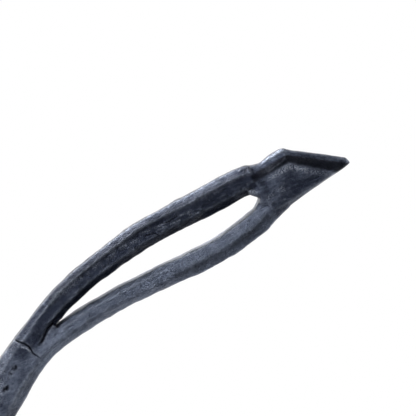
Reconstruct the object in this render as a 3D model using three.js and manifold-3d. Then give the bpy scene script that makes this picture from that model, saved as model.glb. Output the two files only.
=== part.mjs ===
// A butcher's hand-forged swivel hook for hanging meat, in millimetres, +Z up.
//
// A square bar runs down from a riveted swivel, bends round the bowl and rises as the leg. There it is
// split: two strands part round a long eye, and are forge-welded together again in a bevelled point.
// The bar's top end is a round tenon, peened over a washer inside a U-shaped clevis, so that the hook
// turns. The clevis hangs by a riveted cross pin from a round ring, and the origin is where that ring
// bears on its rail. The hook lies in the XZ plane, with its leg on the -X side.

import * as THREE from "three";
import { ConvexGeometry } from "three/addons/geometries/ConvexGeometry.js";
import { mergeVertices } from "three/addons/utils/BufferGeometryUtils.js";
import Module from "manifold-3d";

// ---- Driving dimensions: lengths in millimetres, angles in degrees ----

const GAP = 0.3; // between pieces that touch

// Hook bar
const BAR = 12.7; // half-inch square bar, across the flats
const BAR_CHAMFER = 2.2; // hammered corners
const NECK_LENGTH = 16; // straight, below the swivel
const GOOSE_RADIUS = 40; // centre line of the two bends that carry the shank out to the side
const GOOSE_ANGLE = 40;
const SHANK_LENGTH = 106; // straight, above the bowl
const BOWL_RADIUS = 42; // centre line
const BOWL_TURN = 136;
const BOWL_OFFSET = -4.8; // of the bowl's centre from the swivel's axis, so that the empty hook hangs upright
const LEG_RADIUS = 87; // centre line of the leg's bend, on from the bowl
const LEG_BAR_TURN = 10; // of that bend, below the weld
const LEG_EYE_TURN = 24; // of that bend, above the weld

// Eye in the leg
const EYE_LENGTH = 96.5; // of the strands, from the weld to the back of the point
const OUTER_LAP = 1.021; // of a strand's lower end, past the middle of the bar
const INNER_LAP = 0.02;
const OUTER_WIDTH = 8.829; // of a strand's upper end, in the hook's plane
const INNER_WIDTH = 7.63;
const STRAND_DEPTH = 8.6; // across the hook's plane
const STRAND_CHAMFER = 2.2;
const THINNED_BY = 0.35; // share of the eye over which the strands thin from the bar's depth
const OUTER_BULGE = 8.15; // furthest that a strand's centre line stands off the leg's
const INNER_BULGE = 8.5;

// How far each strand has moved out to its bulge, at shares of the eye's length
const OUTER_OPENING = {
  at: [0, 0.1, 0.19, 0.3, 0.45, 0.6, 0.8, 1],
  moved: [0, 0.05, 0.22, 0.48, 0.81, 1, 0.85, 0.7],
};
const INNER_OPENING = {
  at: [0, 0.1, 0.19, 0.3, 0.49, 0.76, 0.88, 1],
  moved: [0, 0.08, 0.3, 0.44, 0.63, 1, 0.87, 0.54],
};

// Point
const POINT_LENGTH = 30;
const POINT_DEPTH = 9.4;
const POINT_RIM = 4.6; // thickness left at the rims
const POINT_BEVEL = 3.8; // width of the bevel along the outer rim and the slant
const POINT_OUTER = 8.8; // outer rim, from the leg's centre line
const POINT_INNER = 7.9; // inner rim, from the leg's centre line
const POINT_CORNER = 13.6; // from the back of the point to where its slant starts
const TIP_DROP = 5.5; // of the tip, from the leg's centre line to the inner side
const TIP_NOSE = 2; // blunt edge at the tip
const TIP_THICKNESS = 1.6;
const TIP_FACE = 0.6; // share of the half depth left where the flat face meets the tip

// Swivel
const TENON_SHOULDER = 1.85; // bar left standing round the tenon
const TENON_PLAY = 0.3; // radial
const HEAD_RIM = 3.25; // peened head, beyond the tenon
const HEAD_HEIGHT = 4.2;
const WASHER_RIM = 1.25; // beyond the head
const WASHER_THICKNESS = 1.8;

// Clevis
const STRAP_RIM = 2; // strap beyond the tenon's washer, at each edge
const STRAP_THICKNESS = 6;
const STRAP_CHAMFER = 1.2;
const CLEVIS_BEND = 4; // inside radius of the strap's two bends
const WASHER_ROOM = 0.5; // between the tenon's washer and those bends
const PIN = 8; // diameter
const PIN_PLAY = 0.3; // radial
const RIVET_RIM = 2.75; // pin's heads, beyond the pin
const RIVET_HEIGHT = 3.6;
const ROVE_RIM = 1.25; // washers under those heads, beyond them
const ROVE_THICKNESS = 1.6;

// Ring
const RING_BAR = 9;
const RING_HOLE = 55; // clear diameter
const RING_TO_HEAD = 11; // clear drop from the ring to the tenon's head, for the swing

const STEP = 5; // along a swept bar
const ROUND_SIDES = 24; // of a turned piece
const RING_SIDES = 16; // of the ring's bar
const RING_STEPS = 56; // round the ring

// ---- Sizes that follow ----

const tenon = BAR - 2 * TENON_SHOULDER;
const headDiameter = tenon + 2 * HEAD_RIM;
const washerDiameter = headDiameter + 2 * WASHER_RIM;
const strapWidth = washerDiameter + 2 * STRAP_RIM;
const earInside = washerDiameter / 2 + WASHER_ROOM + CLEVIS_BEND; // from the middle
const earOutside = earInside + STRAP_THICKNESS;
const rivetDiameter = PIN + 2 * RIVET_RIM;
const roveDiameter = rivetDiameter + 2 * ROVE_RIM;

const ringCentreZ = -RING_HOLE / 2;
const pinZ = -RING_HOLE + PIN / 2 + GAP;
const headTopZ = -RING_HOLE - RING_BAR - RING_TO_HEAD;
const headBaseZ = headTopZ - HEAD_HEIGHT;
const washerZ = headBaseZ - GAP - WASHER_THICKNESS;
const floorZ = washerZ - GAP;
const underZ = floorZ - STRAP_THICKNESS;
const shoulderZ = underZ - GAP;

// ---- Solids ----

const MERGE = 1e-4; // vertices nearer than this are one

const wasm = await Module();
wasm.setup();

function solidOf(geometry) {
  const bare = geometry.clone();
  bare.deleteAttribute("normal");
  bare.deleteAttribute("uv");
  const merged = mergeVertices(bare, MERGE);
  return new wasm.Manifold(
    new wasm.Mesh({
      numProp: 3,
      vertProperties: merged.attributes.position.array,
      triVerts: new Uint32Array(merged.index.array),
    }),
  );
}

function geometryOf(solid) {
  const mesh = solid.getMesh();
  const geometry = new THREE.BufferGeometry();
  geometry.setAttribute("position", new THREE.BufferAttribute(mesh.vertProperties, 3));
  geometry.setIndex(new THREE.BufferAttribute(mesh.triVerts, 1));
  geometry.computeVertexNormals();
  return geometry;
}

// A shape drawn as (x, z), extruded along Y and centred on y = 0.
function extrudeAcross(shape, depth, bevel) {
  const geometry = new THREE.ExtrudeGeometry(shape, {
    depth: depth - 2 * bevel,
    bevelThickness: bevel,
    bevelSize: bevel,
    bevelOffset: -bevel,
    bevelSegments: 1,
    curveSegments: 8,
  });
  return geometry.translate(0, 0, bevel - depth / 2).rotateX(Math.PI / 2);
}

// A shape drawn as (y, z), extruded along X and centred on x = 0.
function extrudeSideways(shape, depth) {
  const geometry = new THREE.ExtrudeGeometry(shape, { depth, bevelEnabled: false, curveSegments: 12 });
  return geometry.translate(0, 0, -depth / 2).rotateX(Math.PI / 2).rotateZ(Math.PI / 2);
}

function cylinder(diameter, length) {
  return new THREE.CylinderGeometry(diameter / 2, diameter / 2, length, ROUND_SIDES);
}

// A profile of [radius, height] pairs turned about the Z axis.
function turned(profile) {
  const points = profile.map(([radius, height]) => new THREE.Vector2(radius, height));
  return new THREE.LatheGeometry(points, ROUND_SIDES).rotateX(Math.PI / 2);
}

function washer(hole, diameter, thickness) {
  const inner = hole / 2;
  const outer = diameter / 2;
  return turned([
    [inner, 0],
    [outer, 0],
    [outer, thickness],
    [inner, thickness],
    [inner, 0],
  ]);
}

// [radius, height] pairs of a hammered dome, from its rim at height base to its crown on the axis.
function dome(diameter, height, base) {
  const radius = diameter / 2;
  return [
    [radius, base],
    [radius, base + 0.3 * height],
    [0.82 * radius, base + 0.7 * height],
    [0.45 * radius, base + 0.95 * height],
    [0, base + height],
  ];
}

// ---- The hook's centre line: straight stretches and arcs, walked down from the swivel ----

const radians = THREE.MathUtils.degToRad;

const shankX = BOWL_RADIUS + BOWL_OFFSET;
const gooseBendX = GOOSE_RADIUS * (1 - Math.cos(radians(GOOSE_ANGLE)));
const gooseRun = (shankX - 2 * gooseBendX) / Math.sin(radians(GOOSE_ANGLE));
const eyeBend = LEG_RADIUS * radians(LEG_EYE_TURN);

// turn is in degrees, positive to the left of the way that is walked.
const barStretches = [
  { length: NECK_LENGTH },
  { radius: GOOSE_RADIUS, turn: GOOSE_ANGLE },
  { length: gooseRun },
  { radius: GOOSE_RADIUS, turn: -GOOSE_ANGLE },
  { length: SHANK_LENGTH },
  { radius: BOWL_RADIUS, turn: -BOWL_TURN },
  { radius: LEG_RADIUS, turn: -LEG_BAR_TURN },
];
const eyeStretches = [
  { radius: LEG_RADIUS, turn: -LEG_EYE_TURN },
  { length: EYE_LENGTH - eyeBend },
];

function stretchLength({ length, radius, turn }) {
  return length ?? radius * Math.abs(radians(turn));
}

// The place reached after going distance along one stretch. A place is {x, z, heading}.
function advance({ x, z, heading }, { radius, turn }, distance) {
  if (!radius) {
    return { x: x + distance * Math.cos(heading), z: z + distance * Math.sin(heading), heading };
  }
  const side = Math.sign(turn);
  const next = heading + (side * distance) / radius;
  return {
    x: x + side * radius * (Math.sin(next) - Math.sin(heading)),
    z: z - side * radius * (Math.cos(next) - Math.cos(heading)),
    heading: next,
  };
}

// Places along a chain of stretches, no more than STEP apart, each with the distance walked to it.
function walk(start, stretches) {
  const places = [{ ...start, distance: 0 }];
  for (const stretch of stretches) {
    const from = places.at(-1);
    const total = stretchLength(stretch);
    const steps = Math.ceil(total / STEP);
    for (let i = 1; i <= steps; i++) {
      const along = (total * i) / steps;
      places.push({ ...advance(from, stretch, along), distance: from.distance + along });
    }
  }
  return places;
}

const swivelPlace = { x: 0, z: shoulderZ, heading: -Math.PI / 2 };
const barPlaces = walk(swivelPlace, barStretches);
const eyePlaces = walk(barPlaces.at(-1), eyeStretches);
const pointPlace = eyePlaces.at(-1);

// ---- Sweeping a chamfered section along those places ----

// The point that lies side to the left of a place, and depth along Y from the plane of the hook.
function beside({ x, z, heading }, side, depth) {
  return new THREE.Vector3(x - side * Math.sin(heading), depth, z + side * Math.cos(heading));
}

// The eight corners of a section, in order round it.
function section({ place, side = 0, width, depth, chamfer }) {
  const w = width / 2;
  const d = depth / 2;
  const corners = [
    [d, w - chamfer],
    [d - chamfer, w],
    [chamfer - d, w],
    [-d, w - chamfer],
    [-d, chamfer - w],
    [chamfer - d, -w],
    [d - chamfer, -w],
    [d, chamfer - w],
  ];
  return corners.map(([across, out]) => beside(place, side + out, across));
}

function sweep(stations) {
  const rings = stations.map(section);
  const size = rings[0].length;
  const last = rings.length - 1;
  const at = (ring, corner) => ring * size + (corner % size);
  const triangles = [];
  for (let ring = 0; ring < last; ring++) {
    for (let corner = 0; corner < size; corner++) {
      triangles.push(at(ring, corner), at(ring, corner + 1), at(ring + 1, corner + 1));
      triangles.push(at(ring, corner), at(ring + 1, corner + 1), at(ring + 1, corner));
    }
  }
  for (let corner = 1; corner < size - 1; corner++) {
    triangles.push(at(0, 0), at(0, corner + 1), at(0, corner));
    triangles.push(at(last, 0), at(last, corner), at(last, corner + 1));
  }
  return new THREE.BufferGeometry().setFromPoints(rings.flat()).setIndex(triangles);
}

// ---- Hook: bar, strands and point ----

function hookBar() {
  const bar = sweep(barPlaces.map((place) => ({ place, width: BAR, depth: BAR, chamfer: BAR_CHAMFER })));
  const rootZ = shoulderZ - NECK_LENGTH / 2;
  const tenonProfile = [[0, rootZ], [tenon / 2, rootZ], [tenon / 2, headBaseZ]];
  const headProfile = dome(headDiameter, HEAD_HEIGHT, headBaseZ);
  return geometryOf(solidOf(bar).add(solidOf(turned([...tenonProfile, ...headProfile]))));
}

// sign is 1 for the outer strand and -1 for the inner one, and grow widens the strand all round.
function strand(sign, lap, upperWidth, bulge, opening, grow = 0) {
  const opened = new THREE.CubicInterpolant(opening.at, opening.moved, 1);
  const lowerWidth = BAR / 2 + lap;
  const closedSide = (BAR - lowerWidth) / 2;
  const lead = grow ? -2 * GAP : GAP; // a cutter runs past the welds, and a strand stops short of them
  const first = advance(eyePlaces[0], eyeStretches[0], lead);
  const last = advance(eyePlaces.at(-1), eyeStretches[1], -lead);
  const stations = eyePlaces.map((place, i) => {
    const share = place.distance / EYE_LENGTH;
    const thinned = Math.min(1, share / THINNED_BY);
    return {
      place: i === 0 ? first : i === eyePlaces.length - 1 ? last : place,
      side: sign * (closedSide + (bulge - closedSide) * opened.evaluate(share)[0]),
      width: lowerWidth + (upperWidth - lowerWidth) * share + 2 * grow,
      depth: BAR + (STRAND_DEPTH - BAR) * thinned * (2 - thinned) + 2 * grow,
      chamfer: STRAND_CHAMFER,
    };
  });
  return solidOf(sweep(stations));
}

function outerStrand(grow) {
  return strand(1, OUTER_LAP, OUTER_WIDTH, OUTER_BULGE, OUTER_OPENING, grow);
}

function innerStrand() {
  return strand(-1, INNER_LAP, INNER_WIDTH, INNER_BULGE, INNER_OPENING).subtract(outerStrand(GAP));
}

// Built along +X from the back of the point, with the outer side at +Y and the hook's depth along Z.
function point() {
  const rim = POINT_RIM / 2;
  const face = POINT_DEPTH / 2;
  const faceOuter = POINT_OUTER - POINT_BEVEL;
  const noseX = POINT_LENGTH - TIP_NOSE / 4;
  const noseY = TIP_NOSE - TIP_DROP;
  const slant = Math.atan2(POINT_OUTER - noseY, noseX - POINT_CORNER);
  const outline = [
    [0, POINT_OUTER, rim],
    [POINT_CORNER, POINT_OUTER, rim],
    [noseX, noseY, TIP_THICKNESS / 2],
    [POINT_LENGTH, -TIP_DROP, TIP_THICKNESS / 2],
    [0, -POINT_INNER, rim],
    [0, faceOuter, face],
    [POINT_CORNER - POINT_BEVEL * Math.tan(slant / 2), faceOuter, face],
    [POINT_LENGTH - POINT_BEVEL / Math.sin(slant), -TIP_DROP, TIP_FACE * face],
    [0, POINT_BEVEL / 2 - POINT_INNER, face],
  ];
  return new ConvexGeometry(
    outline.flatMap(([x, y, z]) => [new THREE.Vector3(x, y, z), new THREE.Vector3(x, y, -z)]),
  );
}

// ---- Clevis ----

function clevisStrap() {
  const halfWidth = strapWidth / 2;
  const topZ = pinZ + halfWidth;
  const outerBend = CLEVIS_BEND + STRAP_THICKNESS;
  const strap = new THREE.Shape();
  strap.moveTo(-earOutside, topZ);
  strap.lineTo(-earOutside, underZ + outerBend);
  strap.absarc(outerBend - earOutside, underZ + outerBend, outerBend, Math.PI, 1.5 * Math.PI);
  strap.absarc(earOutside - outerBend, underZ + outerBend, outerBend, 1.5 * Math.PI, 2 * Math.PI);
  strap.lineTo(earOutside, topZ);
  strap.lineTo(earInside, topZ);
  strap.absarc(earInside - CLEVIS_BEND, floorZ + CLEVIS_BEND, CLEVIS_BEND, 0, -Math.PI / 2, true);
  strap.absarc(CLEVIS_BEND - earInside, floorZ + CLEVIS_BEND, CLEVIS_BEND, -Math.PI / 2, -Math.PI, true);
  strap.lineTo(-earInside, topZ);
  strap.closePath();

  // Seen from the side, the ears have round tops about the pin.
  const side = new THREE.Shape();
  side.moveTo(-halfWidth, underZ - GAP);
  side.lineTo(halfWidth, underZ - GAP);
  side.absarc(0, pinZ, halfWidth, 0, Math.PI);
  side.closePath();

  const acrossEars = 3 * earOutside;
  const pinHole = cylinder(PIN + 2 * PIN_PLAY, acrossEars).rotateZ(Math.PI / 2).translate(0, 0, pinZ);
  const tenonHole = cylinder(tenon + 2 * TENON_PLAY, 3 * STRAP_THICKNESS).rotateX(Math.PI / 2);
  tenonHole.translate(0, 0, (floorZ + underZ) / 2);

  const bent = solidOf(extrudeAcross(strap, strapWidth, STRAP_CHAMFER));
  const rounded = bent.intersect(solidOf(extrudeSideways(side, acrossEars)));
  return geometryOf(rounded.subtract(solidOf(pinHole)).subtract(solidOf(tenonHole)));
}

// The pin's two heads sit on roves, one against each ear. It is turned about Z and then laid along X.
function crossPin() {
  const seat = earOutside + GAP + ROVE_THICKNESS + GAP;
  const right = [[PIN / 2, seat], ...dome(rivetDiameter, RIVET_HEIGHT, seat)];
  const left = right.map(([radius, height]) => [radius, -height]).reverse();
  return turned([...left, ...right]).rotateY(Math.PI / 2);
}

function rove() {
  return washer(PIN + 2 * PIN_PLAY, roveDiameter, ROVE_THICKNESS).rotateY(Math.PI / 2);
}

// ---- The assembly ----

const forged = new THREE.MeshStandardMaterial({ color: 0x2b2e35, roughness: 0.55, metalness: 0.75 });
const wrought = new THREE.MeshStandardMaterial({ color: 0x33353b, roughness: 0.6, metalness: 0.75 });
const worn = new THREE.MeshStandardMaterial({ color: 0x4a4b4f, roughness: 0.42, metalness: 0.85 });

function piece(name, geometry, material) {
  const mesh = new THREE.Mesh(geometry, material);
  mesh.name = name;
  return mesh;
}

function buildRing() {
  const torus = new THREE.TorusGeometry((RING_HOLE + RING_BAR) / 2, RING_BAR / 2, RING_SIDES, RING_STEPS);
  const ring = piece("hanging_ring", torus.rotateY(Math.PI / 2), wrought);
  ring.position.z = ringCentreZ;
  return ring;
}

function buildClevis() {
  const pin = new THREE.Group();
  pin.position.z = pinZ;
  const roveRight = piece("pin_rove_right", rove(), wrought);
  roveRight.position.x = earOutside + GAP;
  const roveLeft = piece("pin_rove_left", rove(), wrought);
  roveLeft.position.x = -earOutside - GAP - ROVE_THICKNESS;
  pin.add(piece("cross_pin", crossPin(), worn), roveRight, roveLeft);
  return new THREE.Group().add(piece("clevis_strap", clevisStrap(), wrought), pin);
}

function buildHook() {
  const hookPoint = piece("hook_point", point(), forged);
  hookPoint.position.copy(beside(pointPlace, 0, 0));
  hookPoint.rotation.x = Math.PI / 2;
  hookPoint.rotateZ(pointPlace.heading);
  const thrustWasher = washer(tenon + 2 * TENON_PLAY, washerDiameter, WASHER_THICKNESS);
  const tenonWasher = piece("tenon_washer", thrustWasher, worn);
  tenonWasher.position.z = washerZ;
  return new THREE.Group().add(
    piece("hook_bar", hookBar(), forged),
    piece("outer_strand", geometryOf(outerStrand()), forged),
    piece("inner_strand", geometryOf(innerStrand()), forged),
    hookPoint,
    tenonWasher,
  );
}

export default new THREE.Group().add(buildRing(), buildClevis(), buildHook());
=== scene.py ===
# Looks for a hand-forged swivel meat hook: smithed surfaces, welds, blackened iron, floor, light, camera.
# Lengths named _MM are millimetres, and so are places on the leg, given as (along, out), places on the
# point, given as (up, outwards), and the forged skin's heights, widths and wavelengths.
# Everything else is in metres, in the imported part's own frame.

import math

import bmesh
import bpy
import numpy as np
from mathutils import Matrix, Vector
from mathutils.bvhtree import BVHTree


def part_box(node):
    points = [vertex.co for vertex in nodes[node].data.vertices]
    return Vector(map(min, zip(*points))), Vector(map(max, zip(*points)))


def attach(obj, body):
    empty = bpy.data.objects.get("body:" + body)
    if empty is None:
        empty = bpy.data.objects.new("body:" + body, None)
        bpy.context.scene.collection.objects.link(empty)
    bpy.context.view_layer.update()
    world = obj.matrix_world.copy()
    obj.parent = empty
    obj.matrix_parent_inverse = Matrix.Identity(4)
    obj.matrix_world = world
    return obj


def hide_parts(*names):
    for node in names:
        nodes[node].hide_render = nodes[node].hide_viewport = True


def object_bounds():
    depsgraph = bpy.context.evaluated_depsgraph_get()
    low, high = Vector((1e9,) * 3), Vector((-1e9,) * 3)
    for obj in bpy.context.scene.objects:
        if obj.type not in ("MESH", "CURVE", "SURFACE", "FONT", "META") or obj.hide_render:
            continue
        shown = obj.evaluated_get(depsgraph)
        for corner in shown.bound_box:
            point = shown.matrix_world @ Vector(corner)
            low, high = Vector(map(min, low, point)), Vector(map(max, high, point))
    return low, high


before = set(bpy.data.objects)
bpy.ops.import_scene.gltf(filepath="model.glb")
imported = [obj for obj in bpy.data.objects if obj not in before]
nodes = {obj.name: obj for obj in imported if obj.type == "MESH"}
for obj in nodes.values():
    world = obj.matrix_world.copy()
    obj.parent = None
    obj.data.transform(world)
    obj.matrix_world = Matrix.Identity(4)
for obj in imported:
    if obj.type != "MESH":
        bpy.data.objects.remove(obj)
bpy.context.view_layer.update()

MM = 0.001

# ---- Seeded noise ------------------------------------------------------------------------------

CELL_PRIMES = (73856093, 19349663, 83492791)
SEED_PRIME = 40503
STIR_PRIME = 1274126177
OCTAVE_SHIFT = 17.3  # keeps the octaves' lattices from lining up


def lattice(points, seed):
    """Smooth value noise from -1 to 1 on a unit lattice."""
    cell = np.floor(points).astype(np.int64)
    f = points - cell
    f = f * f * f * (f * (f * 6 - 15) + 10)
    total = np.zeros(len(points))
    for corner in range(8):
        bit = np.array([corner & 1, corner >> 1 & 1, corner >> 2 & 1])
        h = seed * SEED_PRIME
        for axis, prime in enumerate(CELL_PRIMES):
            h = h ^ (cell[:, axis] + bit[axis]) * prime
        h = (h ^ (h >> 13)) * STIR_PRIME
        h = h ^ (h >> 16)
        value = (h >> 5 & 0xFFFF) / 32767.5 - 1
        total += np.prod(np.where(bit == 1, f, 1 - f), axis=1) * value
    return total


def noise(points, wavelength, seed, octaves=1):
    total = np.zeros(len(points))
    share = 1.0
    whole = 0.0
    for octave in range(octaves):
        total += share * lattice(points * (2**octave / wavelength) + OCTAVE_SHIFT * octave, seed + octave)
        whole += share
        share *= 0.5
    return total / whole


def layered(points, layers):
    """The sum of layers of noise, each a (wavelength, height, seed, octaves)."""
    total = np.zeros(len(points))
    for wavelength, height, seed, octaves in layers:
        total += height * noise(points, wavelength, seed, octaves)
    return total


# ---- Meshes ------------------------------------------------------------------------------------

SAME_CORNER = 2e-6


def welded(cad_node):
    """A CAD node's mesh as a bmesh, with its shared corners merged."""
    bm = bmesh.new()
    bm.from_mesh(nodes[cad_node].data)
    bmesh.ops.remove_doubles(bm, verts=bm.verts, dist=SAME_CORNER)
    return bm


def coords(bm):
    return np.array([v.co for v in bm.verts]) / MM


def put_coords(bm, co):
    for v, p in zip(bm.verts, co):
        v.co = Vector(p) * MM


def cut(bm, point_mm, normal):
    """Keeps what lies behind the plane, and closes it there."""
    geom = bm.verts[:] + bm.edges[:] + bm.faces[:]
    bmesh.ops.bisect_plane(
        bm, geom=geom, plane_co=Vector(point_mm) * MM, plane_no=Vector(normal), clear_outer=True
    )
    rims = [e for e in bm.edges if e.is_boundary]
    bmesh.ops.edgeloop_fill(bm, edges=rims)


def joined(parts):
    """One mesh that holds every bmesh in parts, still overlapping."""
    whole = bmesh.new()
    for bm in parts:
        part = bpy.data.meshes.new("part")
        bm.to_mesh(part)
        whole.from_mesh(part)
        bpy.data.meshes.remove(part)
    mesh = bpy.data.meshes.new("joined")
    whole.to_mesh(mesh)
    whole.free()
    return mesh


def remeshed(mesh, voxel_mm, rounds):
    """A dense even skin over every closed body in the mesh, as (coordinates in mm, quads)."""
    o = bpy.data.objects.new("blank", mesh)
    bpy.context.scene.collection.objects.link(o)
    skin = o.modifiers.new("skin", "REMESH")
    skin.mode = "VOXEL"
    skin.voxel_size = voxel_mm * MM
    soft = o.modifiers.new("soft", "SMOOTH")
    soft.factor = 0.5
    soft.iterations = rounds
    finished = o.evaluated_get(bpy.context.evaluated_depsgraph_get())
    done = finished.to_mesh()
    co = np.zeros(len(done.vertices) * 3)
    done.vertices.foreach_get("co", co)
    quads = np.array([tuple(p.vertices) for p in done.polygons if len(p.vertices) == 4])
    finished.to_mesh_clear()
    bpy.data.objects.remove(o)
    return co.reshape(-1, 3) / MM, quads


def normals_of(co, quads):
    a = co[quads[:, 2]] - co[quads[:, 0]]
    b = co[quads[:, 3]] - co[quads[:, 1]]
    face = np.cross(a, b)
    total = np.zeros_like(co)
    for k in range(4):
        for axis in range(3):
            total[:, axis] += np.bincount(quads[:, k], face[:, axis], len(co))
    return total / np.maximum(np.linalg.norm(total, axis=1, keepdims=True), 1e-12)


def spread(values, quads, rounds):
    """values, one row for each vertex, averaged with their neighbours, rounds times over."""
    count = len(values)
    a = quads[:, [0, 1, 2, 3]].ravel()
    b = quads[:, [1, 2, 3, 0]].ravel()
    weight = np.bincount(a, minlength=count) + np.bincount(b, minlength=count)
    weight = np.maximum(weight, 1)
    flat = values.reshape(count, -1)
    for _ in range(rounds):
        near = np.zeros_like(flat)
        for k in range(flat.shape[1]):
            near[:, k] = np.bincount(a, flat[b, k], count) + np.bincount(b, flat[a, k], count)
        flat = 0.5 * flat + 0.5 * near / weight[:, None]
    return flat.reshape(values.shape)


def wear_marks(co, quads, rounds, gain):
    """How proud each place stands of its surroundings, from 0 to 1: high on edges, none in hollows."""
    away = co - spread(co, quads, rounds)
    return np.clip(np.einsum("ij,ij->i", away, normals_of(co, quads)) * gain, 0, 1)


def build(name, co, quads, normals, marks, body, replaced, material):
    """One shown piece. marks are the per-vertex numbers that its material reads."""
    mesh = bpy.data.meshes.new(name)
    mesh.vertices.add(len(co))
    mesh.vertices.foreach_set("co", (co * MM).astype(np.float32).ravel())
    mesh.loops.add(quads.size)
    mesh.loops.foreach_set("vertex_index", quads.astype(np.int32).ravel())
    mesh.polygons.add(len(quads))
    mesh.polygons.foreach_set("loop_start", np.arange(0, quads.size, 4, dtype=np.int32))
    mesh.update(calc_edges=True)
    for key, values in marks.items():
        layer = mesh.attributes.new(key, "FLOAT", "POINT")
        layer.data.foreach_set("value", values.astype(np.float32))
    mesh.shade_smooth()
    mesh.normals_split_custom_set_from_vertices([tuple(n) for n in normals])
    mesh.materials.append(material)
    o = bpy.data.objects.new(name, mesh)
    bpy.context.scene.collection.objects.link(o)
    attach(o, body)
    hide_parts(*replaced)


# ---- Measures ----------------------------------------------------------------------------------


def smooth_step(x, low, high):
    t = np.clip((x - low) / (high - low), 0, 1)
    return t * t * (3 - 2 * t)


def window(x, height, rise, fall):
    """height between rise and fall, which are each a (from, to) pair, and 0 outside them."""
    return height * smooth_step(x, *rise) * (1 - smooth_step(x, *fall))


def bell(gap, width):
    return np.exp(-((gap / width) ** 2))


def line_distance(along, out, line):
    """Distance to a line of (along, out) points, and the share of its length reached."""
    best = np.full(len(along), np.inf)
    share = np.zeros(len(along))
    points = np.array(line, float)
    lengths = np.linalg.norm(np.diff(points, axis=0), axis=1)
    done = 0.0
    for a, b, length in zip(points[:-1], points[1:], lengths):
        d = (b - a) / length
        t = np.clip((along - a[0]) * d[0] + (out - a[1]) * d[1], 0, length)
        gap = np.hypot(along - a[0] - t * d[0], out - a[1] - t * d[1])
        nearer = gap < best
        best[nearer] = gap[nearer]
        share[nearer] = (done + t[nearer]) / lengths.sum()
        done += length
    return best, share


# ---- The leg's own frame: along runs up the leg from the weld, out is away from the throat ------

WELD_HEADING = math.radians(124)
POINT_HEADING = math.radians(100)
END_FACE_MM = 0.05  # how far back from the furthest corner an end face may reach


def heading_vector(angle):
    return np.array([math.cos(angle), 0, math.sin(angle)])


def end_middle(cad_node, direction):
    co = coords(welded(cad_node))
    reach = co @ direction
    return co[reach > reach.max() - END_FACE_MM].mean(0)


up_weld = heading_vector(WELD_HEADING)
weld_out = heading_vector(WELD_HEADING + math.pi / 2)
up_point = heading_vector(POINT_HEADING)
point_out = heading_vector(POINT_HEADING + math.pi / 2)
leg_foot = end_middle("outer_strand", -up_weld)
leg_head = end_middle("outer_strand", up_point)
leg_length = np.linalg.norm(leg_head - leg_foot)
leg_along = (leg_head - leg_foot) / leg_length
leg_out = np.array([-leg_along[2], 0, leg_along[0]])


def in_leg(co):
    return (co - leg_foot) @ leg_along, (co - leg_foot) @ leg_out


def up_the_point(co):
    return (co - leg_head) @ up_point


# ---- The hook's blank: the CAD pieces, run into each other where a smith welds them --------------

LEG_VOXEL_MM = 0.3
BAR_VOXEL_MM = 0.62
LEG_ROUNDS = 3
BAR_ROUNDS = 2
WELD_BRIDGE_MM = 0.8
OUTER_SHIFT_MM = -0.55  # of each strand's head, towards the leg's outer side
INNER_SHIFT_MM = 0.75
PARTING_MM = 25.0  # from the weld, towards the bowl, to where the fine skin stops
PARTING_LAP_MM = 1.5

# Collars where the strands run into the point, and the rounded end of the eye between them:
# (up, outwards, half the thickness there).
FLUSH = 4.65  # half the thickness that lies even with the point
OUTER_COLLAR = [
    (-2.5, 4.0, 3.0), (0.3, 3.45, 2.7), (2.2, 2.7, 2.4), (4.5, 2.3, 2.3), (4.5, -1, FLUSH), (-2.5, -1, FLUSH)
]
INNER_COLLAR = [
    (-2.5, -16.2, 3.0), (0.3, -15.7, 2.7), (2.5, -14.95, 2.5), (6, -14.2, 2.3), (6, -11, FLUSH),
    (-2.5, -11, FLUSH),
]
EYE_END = [(-1.1, -5.6, 4.6), (-1.1, -8.8, 4.6), (2, -8.8, FLUSH), (2, -5.6, FLUSH)]
EYE_OUTER_CORNER = [
    (-3.3, -3.2, 4.2), (-3.1, -4.2, 4.3), (-1.9, -5.6, 4.5), (-1.1, -6.6, 4.6), (2, -6.6, FLUSH),
    (2, -3.2, FLUSH),
]
EYE_INNER_CORNER = [(-4.2, -9.6, 4.2), (-2, -8.0, 4.5), (-1.1, -7.4, 4.6), (2, -7.4, FLUSH), (2, -10, FLUSH)]

# The weld between the strands' lower ends fills the groove that their corners leave.
WEB_TOP_MM = 15.5  # above the weld
WEB_FOOT_MM = -0.6
WEB_TOP_OUT_MM = -4.1  # of its middle, towards the leg's outer side
WEB_FOOT_OUT_MM = -3.6
WEB_HALF_WIDTH_MM = 2.3
WEB_TOP_SUNK_MM = 0.6  # under the strands' faces
WEB_FOOT_SUNK_MM = 0.02


def stretched_ends(cad_node, shift):
    """A strand run on into the metal at both ends, its head moved by shift towards the leg's outer side."""
    bm = welded(cad_node)
    co = coords(bm)
    down = co @ -up_weld
    high = co @ up_point
    at_foot = down > down.max() - END_FACE_MM
    at_head = high > high.max() - END_FACE_MM
    co = co - np.outer(at_foot, up_weld) * WELD_BRIDGE_MM
    co = co + np.outer(at_head, up_point * WELD_BRIDGE_MM + point_out * shift)
    put_coords(bm, co)
    return bm


def wedge(corners):
    bm = bmesh.new()
    for up, outwards, half in corners:
        for y in (-half, half):
            bm.verts.new(Vector(leg_head + up_point * up + point_out * outwards + (0, y, 0)) * MM)
    bmesh.ops.convex_hull(bm, input=bm.verts)
    return bm


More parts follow.
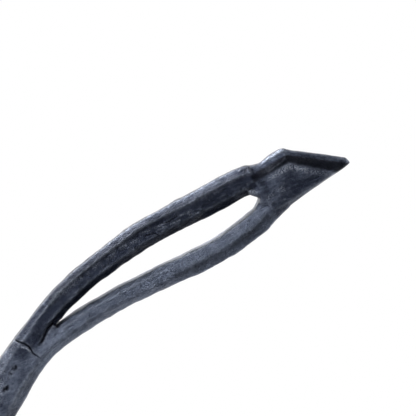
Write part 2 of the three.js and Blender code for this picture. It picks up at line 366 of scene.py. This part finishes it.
def crotch_web():
    strand = coords(welded("outer_strand"))
    reach = (strand - leg_foot) @ up_weld
    foot_face = np.abs(strand[reach < 1][:, 1]).max() - WEB_FOOT_SUNK_MM
    top_face = np.abs(strand[np.abs(reach - WEB_TOP_MM) < 3][:, 1]).max() - WEB_TOP_SUNK_MM
    bm = bmesh.new()
    bmesh.ops.create_cube(bm, size=1)
    corner = np.sign(coords(bm))
    at_top = corner[:, 2] > 0
    up = np.where(at_top, WEB_TOP_MM, WEB_FOOT_MM)
    side = np.where(at_top, WEB_TOP_OUT_MM, WEB_FOOT_OUT_MM) + WEB_HALF_WIDTH_MM * corner[:, 0]
    deep = np.where(at_top, top_face, foot_face) * corner[:, 1]
    put_coords(bm, leg_foot + np.outer(up, up_weld) + np.outer(side, weld_out) + np.outer(deep, (0, 1, 0)))
    return bm


parting_x = leg_foot[0] + PARTING_MM
leg_bar = welded("hook_bar")
cut(leg_bar, (parting_x, 0, 0), (1, 0, 0))
rest_bar = welded("hook_bar")
cut(rest_bar, (parting_x - PARTING_LAP_MM, 0, 0), (-1, 0, 0))

leg_parts = [
    leg_bar,
    stretched_ends("outer_strand", OUTER_SHIFT_MM),
    stretched_ends("inner_strand", INNER_SHIFT_MM),
    wedge(OUTER_COLLAR),
    wedge(INNER_COLLAR),
    crotch_web(),
    wedge(EYE_END),
    wedge(EYE_OUTER_CORNER),
    wedge(EYE_INNER_CORNER),
    welded("hook_point"),
]
leg_co, leg_quads = remeshed(joined(leg_parts), LEG_VOXEL_MM, LEG_ROUNDS)
bar_co, bar_quads = remeshed(joined([rest_bar]), BAR_VOXEL_MM, BAR_ROUNDS)

# ---- Which CAD piece each place on the skin belongs to -----------------------------------------

HOOK_PIECES = ("hook_bar", "outer_strand", "inner_strand", "hook_point")
STATION_STEP_MM = 3.0


def owner_of(places):
    """The number, in HOOK_PIECES, of the CAD piece nearest to each place."""
    lookup = [BVHTree.FromBMesh(welded(name)) for name in HOOK_PIECES]
    owners = np.zeros(len(places), int)
    for i, place in enumerate(places * MM):
        gaps = [tree.find_nearest(place)[3] for tree in lookup]
        owners[i] = int(np.argmin(gaps))
    return owners


vertex_owner = owner_of(leg_co)
is_outer = vertex_owner == HOOK_PIECES.index("outer_strand")
is_inner = vertex_owner == HOOK_PIECES.index("inner_strand")


def across_strand(co, owned):
    """How far each place lies from the middle of its strand, on the leg's outer side if over 0."""
    along, out = in_leg(co)
    stations = np.arange(along[owned].min() + 2, along[owned].max() - 1, STATION_STEP_MM)
    middles = []
    for station in stations:
        band = out[owned & (np.abs(along - station) < 1)]
        middles.append((band.max() + band.min()) / 2)
    return out - np.interp(along, stations, middles)


# ---- Corners softened by the hammer ------------------------------------------------------------

NECK_ROUNDS = 30
NECK_MIDDLE_MM = 0.9  # up the point
NECK_REACH_MM = 2.2
NECK_GAIN = 2.2
STRAND_ROUNDS = 30
STRAND_SHARE = 0.9
STRAND_MM = (6, 20)  # along the leg, where that comes on
STRAND_STOP_MM = -2  # up the point
CROTCH_ROUNDS = 20
CROTCH_MIDDLE_MM = 10  # along the leg
CROTCH_REACH_MM = 5
CROTCH_GAIN = 1.6
CROTCH_SHARE = 0.8
CROTCH_SIDE_MM = 4  # from the outer strand's middle, towards the throat
TIP_ROUNDS = 14
TIP_SHARE = 0.9
TIP_MM = (27, 29.5)  # up the point


def softened(co, quads, rounds, weight):
    """Evens out the skin where weight is over 0."""
    return co + (spread(co, quads, rounds) - co) * weight[:, None]


above_neck = up_the_point(leg_co)
leg_step = in_leg(leg_co)[0]
neck = np.clip(NECK_GAIN - np.abs(above_neck - NECK_MIDDLE_MM) / NECK_REACH_MM, 0, 1)
neck = neck * (1 - 0.5 * smooth_step(np.abs(leg_co[:, 1]), 1, 4))
leg_co = softened(leg_co, leg_quads, NECK_ROUNDS, neck)
strand = is_inner * STRAND_SHARE * smooth_step(leg_step, *STRAND_MM) * (above_neck < STRAND_STOP_MM)
leg_co = softened(leg_co, leg_quads, STRAND_ROUNDS, strand)
crotch = np.clip(CROTCH_GAIN - np.abs(leg_step - CROTCH_MIDDLE_MM) / CROTCH_REACH_MM, 0, 1)
crotch = crotch * (np.abs(across_strand(leg_co, is_outer) + CROTCH_SIDE_MM) < CROTCH_SIDE_MM)
leg_co = softened(leg_co, leg_quads, CROTCH_ROUNDS, crotch * CROTCH_SHARE)
leg_co = softened(leg_co, leg_quads, TIP_ROUNDS, smooth_step(above_neck, *TIP_MM) * TIP_SHARE)

# Towards the point the inner strand is hammered to a ridge along its front and its back.
STRAND_CORNER_MM = 2.2
RIDGE_SLOPE = 0.27
RIDGE_PROUD_MM = 0.25
RIDGE_BLUNT = 0.05
LEAST_HALF_MM = 1.5
RIDGE_STARTS_MM = (48, 72)  # along the leg
RIDGE_STOPS_MM = (0, 4)  # below the neck
from_middle = across_strand(leg_co, is_inner)
to_ridge = is_inner * smooth_step(leg_step, *RIDGE_STARTS_MM) * smooth_step(-above_neck, *RIDGE_STOPS_MM)
to_ridge = to_ridge * smooth_step(np.abs(leg_co[:, 1]), 1.2, 2.2)
strand_face = np.abs(coords(welded("outer_strand"))[:, 1]).min() + STRAND_CORNER_MM
roof = strand_face + RIDGE_PROUD_MM - RIDGE_SLOPE * np.sqrt(from_middle**2 + RIDGE_BLUNT)
leg_co[:, 1] += to_ridge * (np.sign(leg_co[:, 1]) * np.maximum(roof, LEAST_HALF_MM) - leg_co[:, 1])

# ---- Marks on the leg's front --------------------------------------------------------------------

# Cracks: a line of (along, out) points, its width and its depth.
CRACKS = [
    ([(17.5, 1.6), (14.6, 1.25), (12.8, 0.55), (10.6, -0.6), (8.7, -1.5)], 0.28, 0.7),
    ([(2.6, 5.3), (3.3, 4.1), (4.9, 2.1), (5.6, 0.2), (5.3, -2.2), (6.2, -4.9)], 0.22, 0.42),
    ([(-1.4, -2.0), (-2.2, -2.8), (-3.1, -2.5)], 0.3, 0.4),
    ([(-7.6, -5.7), (-8.5, -6.3), (-9.2, -5.9), (-10.1, -6.5)], 0.36, 0.5),
    ([(-14.8, -10.0), (-15.7, -10.7), (-16.6, -10.3)], 0.34, 0.4),
    ([(57.0, 6.4), (60.5, 5.0), (61.2, 3.6)], 0.18, 0.14),
    ([(63.5, 6.6), (66.0, 5.4), (70.5, 4.9)], 0.18, 0.12),
]
CRACK_TIP = 0.35  # of a crack's depth, left at its ends
CRACK_DEEPENS = 5  # times its depth over the whole of its length
# Pits: (along, out), radius and depth.
PITS = [(-8.3, -6.1, 0.5, 0.3), (-4.4, -3.2, 0.35, 0.2)]
# How far the pits are darkened towards near-black.
PIT_DARKENING = 0.8
# Scars: a line, its width, its depth, which is under 0 for a raised lip, and how rubbed it is.
SCARS = [
    ([(18.6, 1.3), (20.6, 0.9), (23.4, -0.1)], 0.3, -0.14, 0.8),
    ([(-2.6, -2.2), (-4.2, -2.9), (-5.9, -4.0)], 0.28, 0.2, 0.4),
    ([(3.6, 1.6), (4.6, 0.5), (4.9, -0.9)], 0.35, -0.12, 0.8),
]
# Painted highlights: pale streaks and patches, each a line, its width and how pale it is.
PAINTED_HIGHLIGHTS = [
    ([(20, 7.5), (24.4, 7.9), (36, 8.1), (49.5, 7.9), (56, 6.8)], 0.9, 0.4),
    ([(57.5, 7.6), (60.5, 6.6), (65, 5.7), (70, 4.9), (74.8, 3.5)], 0.3, 0.7),
    ([(59, 5.4), (62.5, 5.2), (66, 4.2), (69.5, 3.6)], 0.28, 0.5),
    ([(73, 3.1), (79, 0.6), (85.2, -1.9)], 0.3, 0.5),
    ([(92.4, -1.6), (93.3, -2.8), (94.8, -4.2)], 0.8, 0.6),
    ([(97.2, -8.4), (100.4, -8.2), (103.5, -8.8)], 1.3, 0.55),
    ([(22, 1.9), (28, 1.3), (39.6, -1.1), (49.5, -3.2), (61, -5.6), (71, -7.6), (83, -9.6)], 1.0, 0.55),
    ([(-12.0, -7.4), (-8.0, -2.0), (-4.0, 1.6), (0, 3.6), (4, 4.9)], 1.5, 0.5),
    ([(4, 4.9), (18, 8.6), (34, 10.6), (50, 10.5), (62, 9.5), (74, 7.5), (86, 5.4), (92, 4.2)], 0.7, 0.15),
]
# Painted shade: dark streaks, each a line, its width and how black it is.
PAINTED_SHADE_STREAKS = [
    ([(97.9, 1.6), (97.9, -0.2), (98.3, -2.9), (98.4, -5.2), (97.2, -7.0)], 0.9, 0.4),
    ([(58, -10.2), (66, -12.0), (76, -13.4), (86, -13.9), (93, -13.0)], 1.3, 0.5),
    ([(92.6, 2.4), (88, 3.4), (78, 5.0)], 0.8, 0.3),
]

# ---- The hammered skin, as heights that its places are moved out by ------------------------------

SKIN_LIFT_MM = 0.2  # makes up for what the smoothing took off
FRONT_LIMIT = 0.1  # of how far a normal on the front may lean to the back
DENTS = [(9.0, 0.16, 3, 1), (4.2, 0.11, 8, 1), (1.6, 0.05, 12, 2)]
EYE_DENTS = [(5.5, 0.17, 24, 1), (2.4, 0.11, 26, 1)]
EYE_STREAKS = [(1.7, 0.06, 34, 2)]
STREAK_STRETCH = 0.22
# Mottling of the painted highlight streaks.
HIGHLIGHT_MOTTLE = [(1.3, 1.1, 44, 1)]
HIGHLIGHT_MEAN = 0.6
ROUGH_STRETCH = ((8, 28, 92, 100), (0, 1, 1, 0))  # along the leg, and how rough it is there

# Where the leg is fuller than its blank: by how much, and where that comes and goes.
OUTER_CHAMFER = (0.5, (6, 16), (58, 74))  # along the leg
OUTER_EDGE = [(0.3, (42, 54)), (0.25, (70, 84))]
POINT_BACK = (0.95, (2, 10), (12, 16))  # up the point
INNER_BOWS = [(0.4, (20, 34), (66, 74)), (0.6, (13, 18), (22, 30))]
INNER_BELLY = (0.3, (74, 82), (88, 95))
OUTER_EDGE_FROM = -2  # out of the leg's line
CHAMFER_FACE = (0.65, 0.7)  # its normal's share across the hook's plane, and outwards
CHAMFER_SPREAD = 0.09
# Hammered swells: (along, out), radius and height.
SWELLS = [(-9, -12.5, 5, 0.55), (-4, -10, 5, 0.6), (1, -8, 4, 0.25)]


def hammer_marks(co):
    """Dents and scale. The strands are rougher than the bar, and drawn out into shallow streaks."""
    along, out = in_leg(co)
    rough = np.interp(along, *ROUGH_STRETCH)
    drawn = np.column_stack([along * STREAK_STRETCH, co[:, 1], out])
    return layered(co, DENTS) + SKIN_LIFT_MM + rough * (layered(co, EYE_DENTS) + layered(drawn, EYE_STREAKS))


def fullness(co, normals, on_inner):
    """How much fuller than its blank the leg is at its chamfers, edges, back, bows and swells."""
    along, out = in_leg(co)
    up = up_the_point(co)
    lean = normals @ leg_out
    outwards = np.clip(lean, 0, 1) ** 2
    inwards = np.clip(-lean, 0, 1) ** 2
    on_edge = outwards * (out > OUTER_EDGE_FROM)
    on_chamfer = (np.abs(normals[:, 1]) - CHAMFER_FACE[0]) ** 2 + (lean - CHAMFER_FACE[1]) ** 2
    thicker = sum(height * smooth_step(along, *rise) for height, rise in OUTER_EDGE)
    bowed = sum(window(along, *bow) for bow in INNER_BOWS)
    press = np.exp(-on_chamfer / CHAMFER_SPREAD) * window(along, *OUTER_CHAMFER)
    press += on_edge * (thicker * (1 - smooth_step(up, 0, 6)) + window(up, *POINT_BACK))
    press += on_inner * (bowed * outwards + window(along, *INNER_BELLY) * inwards)
    for a, o, radius, height in SWELLS:
        press += height * bell(np.hypot(along - a, out - o), radius)
    return press


def struck_marks(co, front):
    """Cracks, pits, scars, painted highlight streaks and painted shade streaks: heights, how dark and how
    bright.
    """
    along, out = in_leg(co)
    press = np.zeros(len(co))
    dark = np.zeros(len(co))
    bright = np.zeros(len(co))
    for line, width, depth in CRACKS:
        gap, share = line_distance(along, out, line)
        fade = np.clip(np.minimum(share, 1 - share) * CRACK_DEEPENS + CRACK_TIP, 0, 1)
        groove = bell(gap, width) * fade * front
        press -= groove * depth
        dark = np.maximum(dark, groove)
    for a, o, radius, depth in PITS:
        dip = bell(np.hypot(along - a, out - o), radius) * front
        press -= dip * depth
        dark = np.maximum(dark, dip * PIT_DARKENING)
    for line, width, depth, amount in SCARS:
        scar = bell(line_distance(along, out, line)[0], width) * front
        press -= scar * depth
        bright = np.maximum(bright, scar * amount)
    # Painted highlights: pale streaks, mottled.
    mottled = np.clip(HIGHLIGHT_MEAN + layered(co, HIGHLIGHT_MOTTLE), 0, 1)
    for line, width, amount in PAINTED_HIGHLIGHTS:
        streak = bell(line_distance(along, out, line)[0], width) * front
        bright = np.maximum(bright, amount * streak * mottled)
    # Painted shade: dark streaks.
    for line, width, amount in PAINTED_SHADE_STREAKS:
        streak = bell(line_distance(along, out, line)[0], width) * front
        dark = np.maximum(dark, amount * streak)
    return press, dark, bright


def forged(co, quads, on_inner=0):
    """The skin with its hammer marks in it, and how dark and how bright each place is."""
    normals = normals_of(co, quads)
    struck, dark, bright = struck_marks(co, normals[:, 1] < FRONT_LIMIT)
    press = hammer_marks(co) + fullness(co, normals, on_inner) + struck
    return co + normals * press[:, None], dark, bright


leg_co, leg_dark, leg_bright = forged(leg_co, leg_quads, is_inner)
bar_co, bar_dark, bar_bright = forged(bar_co, bar_quads)

# ---- Painted shade, painted ridge highlight and tone on the leg ----------------------------------

RIDGE_CORNER = (12.6, -2.0)  # where the point's ridge turns
RIDGE_FALL = (0.67, 0.742)  # square to the ridge beyond that, as (up, outwards)
BACK_CORNER = (13.9, 2.3)  # where the point's back turns
BACK_FALL = (0.612, 0.791)
BACK_EDGE_MM = 2.5  # outwards, below that corner
# How dark the painted shade is on the point's back bevel, on the band along the outer strand, and on the
# outer strand near the point.
BEVEL_PAINTED_SHADE = 0.85
BAND_PAINTED_SHADE = 0.55
BAND_MIDDLE_MM = 2.3  # from the outer strand's middle
BAND_WIDTH_MM = 1.5
NEAR_POINT_PAINTED_SHADE = 0.3
PAINTED_SHADE_ROUNDS = 3
# Where the painted ridge highlight lies, and how wide it is.
RIDGE_HIGHLIGHT_MM = 0.7  # inside the ridge
RIDGE_HIGHLIGHT_WIDTH_MM = 0.8
# How pale each piece's scale is: partly its own colour, partly painted light and shade, with the inner
# strand painted paler and the outer strand darker.
PIECE_TONES_WITH_PAINTED_LIGHT = {"hook_bar": 0.4, "outer_strand": 0.1, "inner_strand": 0.62, "hook_point": 0.27}
FITTING_TONE = 0.5
TONE_ROUNDS = 30


def in_point(co):
    """Up the point, inside its ridge (under 0 on the bevels), and in from its back edges."""
    up = up_the_point(co)
    outwards = (co - leg_head) @ point_out
    past_ridge = (up - RIDGE_CORNER[0]) * RIDGE_FALL[0] + (outwards - RIDGE_CORNER[1]) * RIDGE_FALL[1]
    past_back = (up - BACK_CORNER[0]) * BACK_FALL[0] + (outwards - BACK_CORNER[1]) * BACK_FALL[1]
    inside = np.minimum(RIDGE_CORNER[1] - outwards, -past_ridge)
    from_edge = np.minimum(BACK_EDGE_MM - outwards, -past_back)
    return up, inside, from_edge


def painted_shade_share():
    """Painted shade: darkens the point's back bevel, a band along the outer strand's back, and the outer
    strand near the point except its outer edge.
    """
    along = in_leg(leg_co)[0]
    up, inside, from_edge = in_point(leg_co)
    bevel = smooth_step(-inside, 0.2, 0.9) * smooth_step(from_edge, 0.9, 1.7) * smooth_step(up, -1.2, 0.2)
    from_middle = across_strand(leg_co, is_outer)
    band = is_outer * bell(from_middle - BAND_MIDDLE_MM, BAND_WIDTH_MM) * smooth_step(along, 12, 24)
    shade = is_outer * smooth_step(along, 52, 70) * (1 - smooth_step(from_middle, 2.4, 3.4))
    black = np.maximum.reduce([bevel * BEVEL_PAINTED_SHADE, band * BAND_PAINTED_SHADE, shade * NEAR_POINT_PAINTED_SHADE])
    return spread(black, leg_quads, PAINTED_SHADE_ROUNDS)


# Painted highlight: a pale line just inside the point's ridge, fainter towards the tip, on the point's faces
# only.
def painted_ridge_highlight():
    up, inside, _ = in_point(leg_co)
    ridge = bell(inside - RIDGE_HIGHLIGHT_MM, RIDGE_HIGHLIGHT_WIDTH_MM) * smooth_step(up, 1, 11)
    return ridge * (1 - 0.6 * smooth_step(up, 15, 20)) * (np.abs(leg_co[:, 1]) > 1.5)


leg_bright = np.maximum(leg_bright, painted_ridge_highlight())
leg_dark = np.maximum(leg_dark, painted_shade_share())
leg_tone = np.array([PIECE_TONES_WITH_PAINTED_LIGHT[name] for name in HOOK_PIECES])[vertex_owner]
leg_tone = spread(leg_tone, leg_quads, TONE_ROUNDS)

# ---- Materials ---------------------------------------------------------------------------------

# Near-black painted into shade, and into cracks and pits.
SHADE_AND_CRACK_COLOUR = (0.002, 0.002, 0.003, 1)
# The noise textures: scale, detail and roughness.
BLOTCHES = (160, 4, 0.6)
GRAIN = (900, 6, 0.65)
STREAKS = (1100, 4, 0.7)
SPECKS = (2300, 3, 0.6)
STREAK_LEAN = math.radians(17.5)
BLOTCH_SHARE = 0.4  # of the mottling between a scale's two colours
GRAIN_SHARE = 0.25
STREAK_SHARE = 0.35
TONE_GAIN = 0.5
PATCH_STOPS = [(0.33, 0.0), (0.67, 1.0)]
RUB_STOPS = [(0.35, 0.45), (0.65, 1.0)]
FLECK_STOPS = [(0.4, 0.0), (0.62, 1.0)]
LESS_ROUGH = 0.09
MORE_ROUGH = 0.12
LUMP_HEIGHT = 0.0008
TOOTH_HEIGHT = 0.0003


def node(tree, kind, inputs=None, **settings):
    made = tree.nodes.new(kind)
    for key, value in settings.items():
        setattr(made, key, value)
    for key, value in (inputs or {}).items():
        if isinstance(value, bpy.types.NodeSocket):
            tree.links.new(value, made.inputs[key])
        else:
            made.inputs[key].default_value = value
    return made


def texture(tree, place, scale, detail, roughness):
    inputs = {"Vector": place, "Scale": scale, "Detail": detail, "Roughness": roughness}
    return node(tree, "ShaderNodeTexNoise", inputs).outputs["Fac"]


def mark(tree, name):
    """One of the numbers that build() stored on each vertex."""
    return node(tree, "ShaderNodeAttribute", attribute_name=name).outputs["Fac"]


def maths(tree, operation, *values, clamped=False):
    inputs = dict(enumerate(values))
    return node(tree, "ShaderNodeMath", inputs, operation=operation, use_clamp=clamped).outputs[0]


def mixed_colour(tree, share, first, second):
    return node(tree, "ShaderNodeMix", {0: share, 6: first, 7: second}, data_type="RGBA").outputs[2]


def ramp(tree, source, stops):
    """A grey ramp through (place, value) stops."""
    made = tree.nodes.new("ShaderNodeValToRGB")
    tree.links.new(source, made.inputs[0])
    elements = made.color_ramp.elements
    while len(elements) < len(stops):
        elements.new(0.5)
    for element, (place, value) in zip(elements, stops):
        element.position = place
        element.color = (value, value, value, 1)
    return made.outputs[0]


def iron(name, dark, mid, pale, rough, bump):
    """Blackened iron: scale that varies in colour and gloss, rubbed paler on its edges; its bright mark
    paints highlights and scars paler, and its shade mark paints shade, cracks and pits near-black.
    """
    material = bpy.data.materials.new(name)
    material.use_nodes = True
    tree = material.node_tree
    tree.nodes.clear()
    place = node(tree, "ShaderNodeTexCoord").outputs["Object"]
    lengthways = {"Vector": place, "Rotation": (0, STREAK_LEAN, 0), "Scale": (1, 1, STREAK_STRETCH)}
    drawn = node(tree, "ShaderNodeMapping", lengthways).outputs[0]
    blotches = texture(tree, place, *BLOTCHES)
    grain = texture(tree, place, *GRAIN)
    streaks = texture(tree, drawn, *STREAKS)
    specks = texture(tree, place, *SPECKS)

    mottle = maths(tree, "MULTIPLY", blotches, BLOTCH_SHARE)
    mottle = maths(tree, "MULTIPLY_ADD", grain, GRAIN_SHARE, mottle)
    mottle = maths(tree, "MULTIPLY_ADD", streaks, STREAK_SHARE, mottle)
    toned = maths(tree, "MULTIPLY_ADD", mark(tree, "tone"), TONE_GAIN, -TONE_GAIN / 2)
    patches = ramp(tree, maths(tree, "ADD", mottle, toned), PATCH_STOPS)
    base = mixed_colour(tree, patches, (*dark, 1), (*mid, 1))

    # Paler where the edges are rubbed, and where the bright mark paints highlights and scars.
    rubbed = maths(tree, "MULTIPLY", mark(tree, "wear"), ramp(tree, grain, RUB_STOPS))
    flecked = maths(tree, "MULTIPLY", mark(tree, "bright"), ramp(tree, specks, FLECK_STOPS))
    pale_share = maths(tree, "ADD", rubbed, flecked, clamped=True)
    worn_and_highlighted = mixed_colour(tree, pale_share, base, (*pale, 1))
    # Painted shade: near-black mixed in by the shade mark, which also darkens cracks and pits.
    shaded_and_cracked = mixed_colour(tree, mark(tree, "painted_shade_and_crack_dark"), worn_and_highlighted, SHADE_AND_CRACK_COLOUR)

    glossy = {"Value": blotches, "To Min": rough - LESS_ROUGH, "To Max": rough + MORE_ROUGH}
    gloss = node(tree, "ShaderNodeMapRange", glossy).outputs[0]
    lumpy = {"Strength": bump, "Distance": LUMP_HEIGHT, "Height": blotches}
    lump = node(tree, "ShaderNodeBump", lumpy).outputs["Normal"]
    roughness = maths(tree, "ADD", streaks, maths(tree, "ADD", grain, specks))
    toothed = {"Strength": bump, "Distance": TOOTH_HEIGHT, "Height": roughness, "Normal": lump}
    tooth = node(tree, "ShaderNodeBump", toothed).outputs["Normal"]
    surface = {"Base Color": shaded_and_cracked, "Roughness": gloss, "Normal": tooth, "Metallic": 1.0}
    shader = node(tree, "ShaderNodeBsdfPrincipled", surface)
    node(tree, "ShaderNodeOutputMaterial", {0: shader.outputs[0]})
    return material


# Each iron: its scale's dark and lighter colours, its rubbed colour, which also paints its highlights, its
# roughness and how bumpy it is.
forged_iron = iron(
    "forged_iron", (0.022, 0.027, 0.044), (0.122, 0.143, 0.195), (0.28, 0.31, 0.375), 0.3, 0.85
)
wrought_iron = iron(
    "wrought_iron", (0.045, 0.05, 0.062), (0.08, 0.088, 0.105), (0.2, 0.21, 0.235), 0.36, 0.5
)
worn_iron = iron(
    "worn_iron", (0.08, 0.082, 0.09), (0.13, 0.132, 0.14), (0.34, 0.34, 0.345), 0.3, 0.35
)

# ---- The hook's four forged pieces -------------------------------------------------------------

LEG_WEAR_ROUNDS = 12
BAR_WEAR_ROUNDS = 4
HOOK_WEAR_GAIN = 3.0

leg_marks = {
    "wear": wear_marks(leg_co, leg_quads, LEG_WEAR_ROUNDS, HOOK_WEAR_GAIN),
    "painted_shade_and_crack_dark": leg_dark,
    "bright": leg_bright,
    "tone": leg_tone,
}
bar_marks = {
    "wear": wear_marks(bar_co, bar_quads, BAR_WEAR_ROUNDS, HOOK_WEAR_GAIN),
    "painted_shade_and_crack_dark": bar_dark,
    "bright": bar_bright,
    "tone": np.full(len(bar_co), PIECE_TONES_WITH_PAINTED_LIGHT["hook_bar"]),
}
leg_normals = normals_of(leg_co, leg_quads)
bar_normals = normals_of(bar_co, bar_quads)
quad_owner = vertex_owner[leg_quads[:, 0]]

for number, cad_node in enumerate(HOOK_PIECES):
    used, index = np.unique(leg_quads[quad_owner == number], return_inverse=True)
    quads = index.reshape(-1, 4)
    co = leg_co[used]
    normals = leg_normals[used]
    marks = {key: values[used] for key, values in leg_marks.items()}
    if cad_node == "hook_bar":
        quads = np.vstack([quads, bar_quads + len(co)])
        co = np.vstack([co, bar_co])
        normals = np.vstack([normals, bar_normals])
        marks = {key: np.concatenate([marks[key], bar_marks[key]]) for key in marks}
    build(cad_node + "_forged", co, quads, normals, marks, "hook", [cad_node], forged_iron)

# ---- Ring, clevis and fittings -----------------------------------------------------------------

FITTING_WEAR_ROUNDS = 5
FITTING_WEAR_GAIN = 4.0

# Node, body, slot, material, voxel in mm, smoothing rounds, depth of its dents in mm, and seed.
FITTINGS = [
    ("hanging_ring", "ring", "wrought_iron", wrought_iron, 0.6, 4, 0.12, 31),
    ("clevis_strap", "clevis", "wrought_iron", wrought_iron, 0.6, 4, 0.1, 41),
    ("cross_pin", "clevis", "worn_iron", worn_iron, 0.4, 4, 0.06, 51),
    ("pin_rove_right", "clevis", "wrought_iron", wrought_iron, 0.35, 3, 0.04, 61),
    ("pin_rove_left", "clevis", "wrought_iron", wrought_iron, 0.35, 3, 0.04, 71),
    ("tenon_washer", "hook", "worn_iron", worn_iron, 0.35, 3, 0.04, 81),
]

for cad_node, body, slot, material, voxel_mm, rounds, dent, seed in FITTINGS:
    co, quads = remeshed(joined([welded(cad_node)]), voxel_mm, rounds)
    press = layered(co, [(7.0, dent * 0.6, seed, 1), (2.6, dent * 0.4, seed + 3, 2)]) - dent * 0.7
    co = co + normals_of(co, quads) * press[:, None]
    zero = np.zeros(len(co))
    wear = wear_marks(co, quads, FITTING_WEAR_ROUNDS, FITTING_WEAR_GAIN)
    marks = {"wear": wear, "painted_shade_and_crack_dark": zero, "bright": zero, "tone": zero + FITTING_TONE}
    build(cad_node + "_finished", co, quads, normals_of(co, quads), marks, body, [cad_node], material)

# ---- Floor -------------------------------------------------------------------------------------

FLOOR_RADIUS = 0.3
FLOOR_GAP = 0.04  # below the hanging hook
FLOOR_COLOUR = (0.93, 0.93, 0.93, 1)
FLOOR_ROUGHNESS = 0.9

low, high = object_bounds()
floor_mesh = bpy.data.meshes.new("floor")
bm = bmesh.new()
bmesh.ops.create_circle(bm, cap_ends=True, segments=96, radius=FLOOR_RADIUS)
bm.to_mesh(floor_mesh)
bm.free()
floor = bpy.data.objects.new("floor", floor_mesh)
floor.location = ((low.x + high.x) / 2, 0, low.z - FLOOR_GAP)
bpy.context.scene.collection.objects.link(floor)
pale_floor = bpy.data.materials.new("pale_floor")
pale_floor.use_nodes = True
floor_shader = pale_floor.node_tree.nodes["Principled BSDF"]
floor_shader.inputs["Base Color"].default_value = FLOOR_COLOUR
floor_shader.inputs["Roughness"].default_value = FLOOR_ROUGHNESS
floor_mesh.materials.append(pale_floor)

# ---- Camera: square on to the hook's flat side, tipped over so that the leg lies across the view -

VIEW_AZIMUTH = math.radians(-5.6)
VIEW_ELEVATION = math.radians(-1.0)
VIEW_ROLL = math.radians(69.68)
VIEW_DISTANCE = 0.7
VIEW_WIDTH = 0.1364  # of the picture, at that distance
AIM_INWARDS = 0.009085  # from the low outer corner of the point's box
AIM_BELOW = 0.01674

point_low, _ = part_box("hook_point")
aim = Vector((point_low.x + AIM_INWARDS, 0, point_low.z - AIM_BELOW))
back = Vector(
    (
        math.sin(VIEW_AZIMUTH) * math.cos(VIEW_ELEVATION),
        -math.cos(VIEW_AZIMUTH) * math.cos(VIEW_ELEVATION),
        math.sin(VIEW_ELEVATION),
    )
)
level = Vector((math.cos(VIEW_AZIMUTH), math.sin(VIEW_AZIMUTH), 0))
upright = back.cross(level)
across = math.cos(VIEW_ROLL) * level + math.sin(VIEW_ROLL) * upright
above = -math.sin(VIEW_ROLL) * level + math.cos(VIEW_ROLL) * upright
camera_data = bpy.data.cameras.new("camera")
camera_data.sensor_width = 36
camera_data.lens = camera_data.sensor_width * VIEW_DISTANCE / VIEW_WIDTH
camera_data.clip_start = 0.01
camera = bpy.data.objects.new("camera", camera_data)
facing = Matrix((across, above, back)).transposed().to_4x4()
camera.matrix_world = Matrix.Translation(aim + back * VIEW_DISTANCE) @ facing
bpy.context.scene.collection.objects.link(camera)
bpy.context.scene.camera = camera

# ---- Light: a white surround, darker in front, with soft boxes ---------------------------------

# The surround's brightness, from straight behind the hook, at 0, round to behind the camera, at 1.
SURROUND = [(0.0, 1.05), (0.44, 1.05), (0.5, 0.5), (0.54, 0.06), (0.93, 0.05), (0.97, 0.25), (1.0, 0.8)]
SURROUND_STRENGTH = 1.15
LEG_RISE = (0.866, 0.5)  # of the leg in the picture, as (across, above)
STRIP_ANGLE = math.radians(29)  # from square on, towards the leg's outer side
STRIP_LENGTH = 1.1
# The soft boxes' sizes and powers.
KEY = (0.55, 19.0)
FILL = (0.4, 1.9)
STRIP = (0.16, 9.0)
OVERHEAD = (0.8, 9.0)
OVERHEAD_PLACE = (0.1, 0.15, 1.0)
OVERHEAD_TARGET = (0, 0, -0.2)

world = bpy.data.worlds.new("studio")
world.use_nodes = True
bpy.context.scene.world = world
tree = world.node_tree
tree.nodes.clear()
direction = node(tree, "ShaderNodeTexCoord").outputs["Generated"]
toward = node(tree, "ShaderNodeVectorMath", {0: direction, 1: tuple(back)}, operation="DOT_PRODUCT")
turned = {"Value": toward.outputs["Value"], "From Min": -1.0, "From Max": 1.0}
surround = ramp(tree, node(tree, "ShaderNodeMapRange", turned).outputs[0], SURROUND)
lit = node(tree, "ShaderNodeBackground", {"Color": surround, "Strength": SURROUND_STRENGTH})
seen = node(tree, "ShaderNodeBackground", {"Color": (1, 1, 1, 1), "Strength": 1.0})
is_seen = node(tree, "ShaderNodeLightPath").outputs["Is Camera Ray"]
mixed = node(tree, "ShaderNodeMixShader", {0: is_seen, 1: lit.outputs[0], 2: seen.outputs[0]})
node(tree, "ShaderNodeOutputWorld", {0: mixed.outputs[0]})


def soft_box(name, place, target, size, power):
    data = bpy.data.lights.new(name, "AREA")
    data.shape = "DISK"
    data.size = size
    data.energy = power
    o = bpy.data.objects.new(name, data)
    o.location = place
    o.rotation_euler = (Vector(target) - Vector(place)).to_track_quat("-Z", "Y").to_euler()
    bpy.context.scene.collection.objects.link(o)
    return o


lengthways = above * LEG_RISE[1] + across * LEG_RISE[0]
outward = above * LEG_RISE[0] - across * LEG_RISE[1]
key_place = aim + outward * 1.0 - back * 0.3 - lengthways * 0.15
fill_place = aim - outward * 0.95 - back * 0.15
strip_place = aim + outward * math.sin(STRIP_ANGLE) + back * math.cos(STRIP_ANGLE)
soft_box("key", key_place, aim, *KEY)
soft_box("fill", fill_place, aim, *FILL)
strip = soft_box("strip", strip_place, aim, *STRIP)
strip.data.shape = "RECTANGLE"
strip.data.size_y = STRIP_LENGTH
strip_back = (strip_place - aim).normalized()
strip_turn = Matrix((lengthways.cross(strip_back), lengthways, strip_back)).transposed()
strip.rotation_euler = strip_turn.to_euler()
soft_box("overhead", OVERHEAD_PLACE, OVERHEAD_TARGET, *OVERHEAD)

bpy.context.scene.view_settings.view_transform = "Standard"
